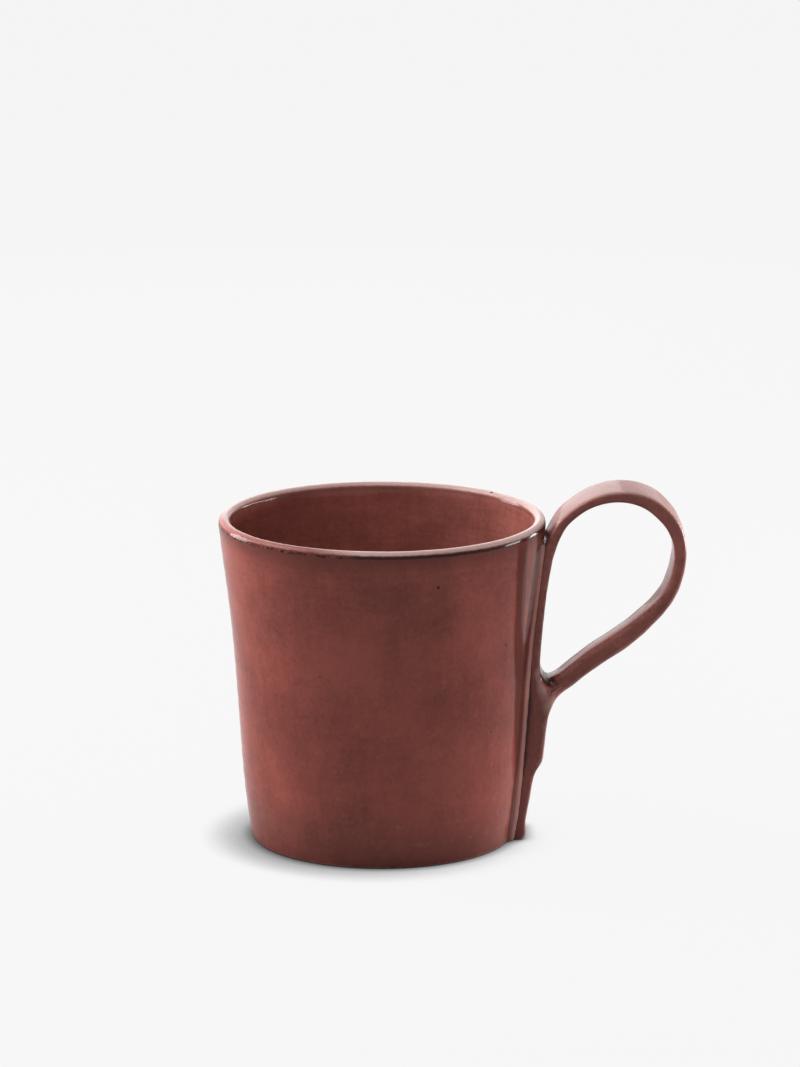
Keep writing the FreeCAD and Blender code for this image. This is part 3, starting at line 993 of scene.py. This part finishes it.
def soft_lamp(name, place, aim, width, height, watts):
    """A rectangular lamp at a place, turned to face another, that the camera doesn't see."""
    data = bpy.data.lights.new(name, "AREA")
    data.shape = "RECTANGLE"
    data.size = width
    data.size_y = height
    data.energy = watts
    lamp = bpy.data.objects.new(name, data)
    bpy.context.collection.objects.link(lamp)
    lamp.location = place
    lamp.rotation_mode = "QUATERNION"
    lamp.rotation_quaternion = (Vector(aim) - Vector(place)).to_track_quat("-Z", "Y")
    lamp.visible_camera = False


FLOOR_SPAN = 6.0
# The floor is this much brighter than the backdrop, which makes both look alike to the camera.
FLOOR_LIFT = 1.025
# How much light the world gives, against 1 for what the camera sees of it
AIR_LIGHT = 0.05


class CUP_OT_set_stage(bpy.types.Operator):
    """Sets the floor, the backdrop, the lamps and the camera"""
    bl_idname = "coffee_cup.set_stage"
    bl_label = "Set the stage"

    def execute(self, context):
        studio = context.scene.studio_look
        for old in [o for o in context.scene.objects if o.type == "LIGHT"]:
            bpy.data.objects.remove(old)
        floor_mesh = bpy.data.meshes.new("floor")
        span = FLOOR_SPAN
        floor_mesh.from_pydata(
            [(-span, -span, 0), (span, -span, 0), (span, span, 0), (-span, span, 0)], [], [(0, 1, 2, 3)])
        floor = bpy.data.objects.new("floor", floor_mesh)
        floor_mesh.materials.append(floor_material(studio.background * FLOOR_LIFT))
        context.collection.objects.link(floor)

        world = bpy.data.worlds.new("studio_air")
        world.use_nodes = True
        tree = world.node_tree
        tree.nodes.clear()
        strength = add_node(tree, "ShaderNodeMapRange", {
            0: seen_rays(tree), 1: 0.0, 2: 1.0, 3: AIR_LIGHT, 4: 1.0})
        pale = studio.background
        air = add_node(tree, "ShaderNodeBackground", {
            "Color": (pale, pale, pale, 1.0), "Strength": strength.outputs[0]})
        out = tree.nodes.new("ShaderNodeOutputWorld")
        tree.links.new(air.outputs[0], out.inputs[0])
        context.scene.world = world

        # Name, bearing from the handle's side and rise in degrees, distance and height aimed at in
        # metres, width, height, and watts
        for name, bearing, rise, distance, level, width, height, watts in (
                ("back_softbox", 106, 26, 0.75, 0.04, 0.60, 0.60, studio.back),
                ("back_right_softbox", 75, 26, 0.75, 0.04, 0.70, 0.60, studio.back_right),
                ("left_high_softbox", 177, 45, 0.75, 0.04, 0.45, 0.45, studio.left_high),
                ("left_softbox", 152, 10, 0.60, 0.10, 0.25, 0.32, studio.left),
                ("right_strip", 25, 0, 0.42, 0.064, 0.36, 0.10, studio.right),
                ("front_high_softbox", 270, 64, 0.75, 0.04, 0.45, 0.45, studio.front),
                ("top_spot", 290, 82, 0.75, 0.04, 0.09, 0.09, studio.top)):
            turn, up = math.radians(bearing), math.radians(rise)
            place = (distance * math.cos(up) * math.cos(turn), distance * math.cos(up) * math.sin(turn),
                     level + distance * math.sin(up))
            soft_lamp(name, place, (0.0, 0.0, level), width, height, watts)
        place_camera()
        context.scene.view_settings.view_transform = "Standard"
        return {"FINISHED"}


class CUP_PT_panel(bpy.types.Panel):
    """Sizes, colours and steps of the cup"""
    bl_idname = "CUP_PT_panel"
    bl_label = "Coffee cup"
    bl_space_type = "VIEW_3D"
    bl_region_type = "UI"
    bl_category = "Coffee cup"

    def draw(self, context):
        scene = context.scene
        for group in (scene.cup_sizes, scene.glaze_look, scene.studio_look):
            box = self.layout.box()
            for name in group.bl_rna.properties.keys():
                if name not in ("rna_type", "name"):
                    box.prop(group, name)
        self.layout.operator(CUP_OT_make_cup.bl_idname)
        self.layout.operator(CUP_OT_set_stage.bl_idname)


CLASSES = (CupSizes, GlazeLook, StudioLook, CUP_OT_make_cup, CUP_OT_set_stage, CUP_PT_panel)


def register():
    for item in CLASSES:
        bpy.utils.register_class(item)
    bpy.types.Scene.cup_sizes = bpy.props.PointerProperty(type=CupSizes)
    bpy.types.Scene.glaze_look = bpy.props.PointerProperty(type=GlazeLook)
    bpy.types.Scene.studio_look = bpy.props.PointerProperty(type=StudioLook)


def unregister():
    del bpy.types.Scene.studio_look
    del bpy.types.Scene.glaze_look
    del bpy.types.Scene.cup_sizes
    for item in reversed(CLASSES):
        bpy.utils.unregister_class(item)


def main():
    register()
    bpy.ops.coffee_cup.make_cup()
    bpy.ops.coffee_cup.set_stage()


if __name__ == "__main__":
    main()
